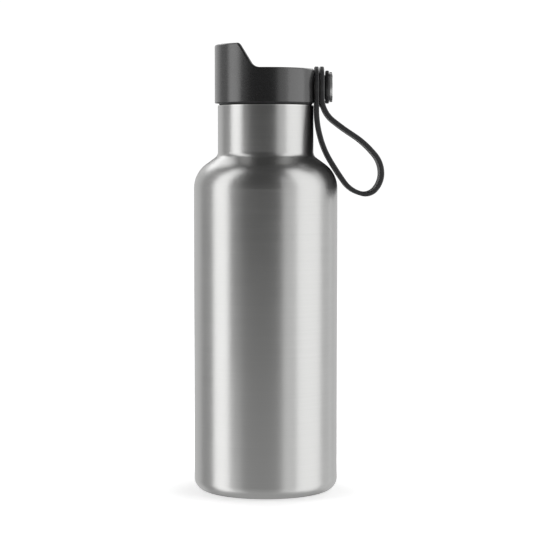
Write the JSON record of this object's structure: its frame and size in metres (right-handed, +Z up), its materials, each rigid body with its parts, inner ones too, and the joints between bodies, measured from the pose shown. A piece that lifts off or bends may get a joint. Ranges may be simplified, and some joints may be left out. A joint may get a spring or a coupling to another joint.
{
  "type": "water bottle",
  "caption": "Slim insulated steel bottle with a screw lid, raised drinking spout, side push button that opens the valve, and a swinging carry strap.",
  "frame": {"origin": "on the bottle's axis, at the plane its standing ring rests on", "axes": "+Z up along the bottle's axis, +X towards the button and the carry strap, -X towards the drinking spout"},
  "size_m": [0.0963, 0.073, 0.2265],
  "materials": {
    "brushed_body": "brushed",
    "flask_steel": "satin",
    "braze_glass": "matte",
    "getter_metal": "matte",
    "lid_plastic": "matte",
    "plug_plastic": "satin",
    "duct_plastic": "satin",
    "collar_plastic": "satin",
    "silicone": "matte",
    "hardware_steel": "satin",
    "spring_steel": "satin",
    "button_metal": "brushed",
    "strap_rubber": "matte"
  },
  "bodies": {
    "bottle": {"outer_shell": "brushed_body", "inner_flask": "flask_steel", "base_cup": "brushed_body", "base_disc": "brushed_body", "seal_bead": "braze_glass", "vacuum_getter": "getter_metal"},
    "gasket": {"neck_gasket": "silicone"},
    "lid": {"lid_shell": "lid_plastic", "lid_plug": "plug_plastic", "chamber_cover": "plug_plastic", "vent_valve": "silicone", "cover_screws": "hardware_steel", "spout_duct": "duct_plastic", "duct_seal": "silicone", "stem_oring": "silicone", "valve_spring": "spring_steel", "button_housing": "collar_plastic", "housing_clip": "plug_plastic", "spring_seat": "plug_plastic", "button_spring": "spring_steel"},
    "valve": {"valve_stem": "plug_plastic", "valve_seal": "silicone", "spring_clip": "hardware_steel"},
    "button": {"button_disc": "button_metal", "button_plunger": "plug_plastic", "push_ramp": "plug_plastic"},
    "strap": {"carry_strap": "strap_rubber"}
  },
  "joints": [
    {"name": "lid_rise", "type": "slide", "parent": "bottle", "child": "gasket", "axis": [0, 0, 1], "range_m": [0, 0.0201]},
    {"name": "lid_unscrew", "type": "hinge", "parent": "gasket", "child": "lid", "pos_m": [0, 0, 0.196], "axis": [0, 0, 1], "range_deg": [0, 1800]},
    {"name": "button_press", "type": "slide", "parent": "lid", "child": "button", "axis": [-1, 0, 0], "range_m": [0, 0.0015], "stiffness_N_per_m": 800, "springref_m": -0.002, "deforming": ["button_spring"]},
    {"name": "valve_open", "type": "slide", "parent": "lid", "child": "valve", "axis": [0, 0, -1], "range_m": [0, 0.0015], "stiffness_N_per_m": 400, "springref_m": -0.002, "deforming": ["valve_spring"]},
    {"name": "strap_swing", "type": "hinge", "parent": "lid", "child": "strap", "pos_m": [0.027, 0, 0.2054], "axis": [1, 0, 0], "continuous": true}
  ],
  "couplings": [
    {"joint": "lid_rise", "follows": "lid_unscrew", "m_per_rad": 0.00063662},
    {"joint": "valve_open", "follows": "button_press", "ratio": 1}
  ]
}
